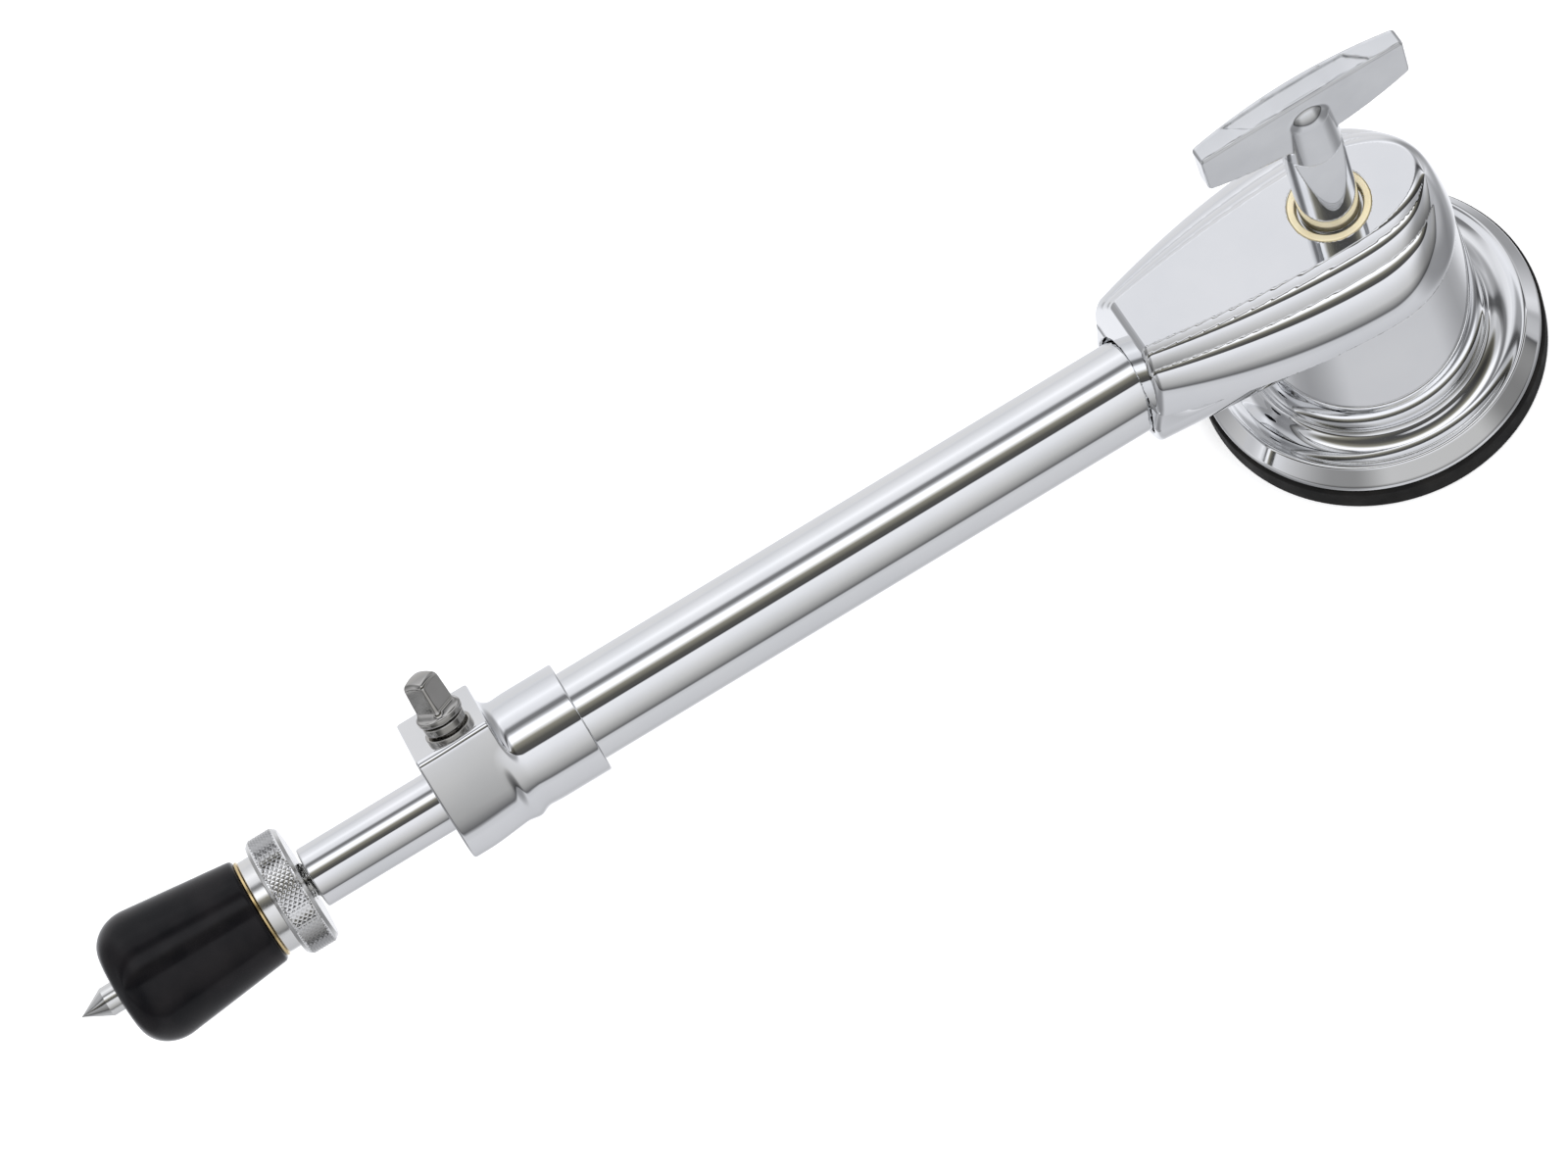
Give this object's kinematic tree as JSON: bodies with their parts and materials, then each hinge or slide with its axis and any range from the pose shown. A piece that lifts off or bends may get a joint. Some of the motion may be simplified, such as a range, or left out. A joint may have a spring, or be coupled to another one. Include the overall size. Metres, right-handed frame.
{
  "type": "bass drum spur",
  "caption": "Folding telescopic bass drum spur: round shell bracket, swivelling arm with T-bolt, tube leg with sliding rod and key clamp, screwed rubber foot over a spike.",
  "frame": {"origin": "middle of the gasket's shell face, on the T-bolt axis", "axes": "+Z along the T-bolt, out of the drum shell; the leg runs along -X with its spike at the -X end; +Y is the side that the clamp's key bolt leans towards"},
  "size_m": [0.3203, 0.0704, 0.1015],
  "materials": {
    "casting_chrome": "mirror-polished chrome plate over die-cast zinc",
    "handle_chrome": "bright chrome plate over die-cast zinc, slightly softer edges",
    "tube_chrome": "mirror chrome plate over drawn steel tube",
    "rod_chrome": "mirror chrome plate over steel rod",
    "gasket_rubber": "matt black moulded rubber",
    "foot_rubber": "smooth glossy black rubber",
    "bush_nylon": "cream nylon",
    "guide_nylon": "natural white nylon",
    "zinc_steel": "bright zinc-plated turned steel",
    "knurl_zinc": "satin zinc plate over a diamond knurl",
    "nickel_steel": "grey nickel-plated steel",
    "black_steel": "black oxide screw steel",
    "brass": "turned brass"
  },
  "bodies": {
    "bracket": {"base_bracket": "casting_chrome", "gasket": "gasket_rubber", "boss_insert": "brass", "friction_washer": "guide_nylon"},
    "t_carrier": {"t_washer": "zinc_steel"},
    "t_bolt": {"t_handle": "handle_chrome", "t_stud": "zinc_steel"},
    "arm": {"swivel_arm": "casting_chrome", "arm_bush": "bush_nylon", "outer_tube": "tube_chrome", "tube_screw": "black_steel", "clamp_collar": "casting_chrome", "guide_bush": "guide_nylon", "clamp_shoe": "brass", "flat_washer": "nickel_steel"},
    "key_carrier": {"spring_washer": "nickel_steel"},
    "key": {"key_bolt": "nickel_steel"},
    "rod_carrier": {"rod_guide": "guide_nylon"},
    "rod": {"inner_rod": "rod_chrome", "rod_tip_plug": "zinc_steel", "spike_stud": "zinc_steel"},
    "lock_nut": {"knurled_nut": "knurl_zinc"},
    "foot_carrier": {"foot_washer": "brass"},
    "foot": {"foot_insert": "brass", "rubber_foot": "foot_rubber"}
  },
  "joints": [
    {"name": "leg_swivel", "type": "hinge", "parent": "bracket", "child": "arm", "pos_m": [0, 0, 0.0445], "axis": [0, 0, 1], "continuous": true},
    {"name": "t_turn", "type": "hinge", "parent": "t_carrier", "child": "t_bolt", "pos_m": [0, 0, 0.06], "axis": [0, 0, 1], "range_deg": [0, 720]},
    {"name": "t_travel", "type": "slide", "parent": "bracket", "child": "t_carrier", "axis": [0, 0, 1], "range_m": [0, 0.0025]},
    {"name": "key_turn", "type": "hinge", "parent": "key_carrier", "child": "key", "pos_m": [-0.1959, -0.0041, 0.04137], "axis": [0, 0.5736, 0.8192], "range_deg": [0, 360]},
    {"name": "key_travel", "type": "slide", "parent": "arm", "child": "key_carrier", "axis": [0, 0.5736, 0.8192], "range_m": [0, 0.001]},
    {"name": "rod_slide", "type": "slide", "parent": "arm", "child": "rod_carrier", "axis": [-1, 0, 0], "range_m": [-0.0285, 0.1]},
    {"name": "rod_turn", "type": "hinge", "parent": "rod_carrier", "child": "rod", "pos_m": [-0.1, 0, 0.0385], "axis": [-1, 0, 0], "continuous": true},
    {"name": "nut_turn", "type": "hinge", "parent": "rod", "child": "lock_nut", "pos_m": [-0.238, 0, 0.0385], "axis": [-1, 0, 0], "range_deg": [-170, 0]},
    {"name": "foot_turn", "type": "hinge", "parent": "foot_carrier", "child": "foot", "pos_m": [-0.26, 0, 0.0385], "axis": [-1, 0, 0], "range_deg": [0, 2700]},
    {"name": "foot_travel", "type": "slide", "parent": "rod", "child": "foot_carrier", "axis": [-1, 0, 0], "range_m": [0, 0.00937]}
  ],
  "couplings": [
    {"joint": "t_turn", "follows": "t_travel", "rad_per_m": 5026},
    {"joint": "key_turn", "follows": "key_travel", "rad_per_m": 6283},
    {"joint": "foot_turn", "follows": "foot_travel", "rad_per_m": 5026}
  ]
}
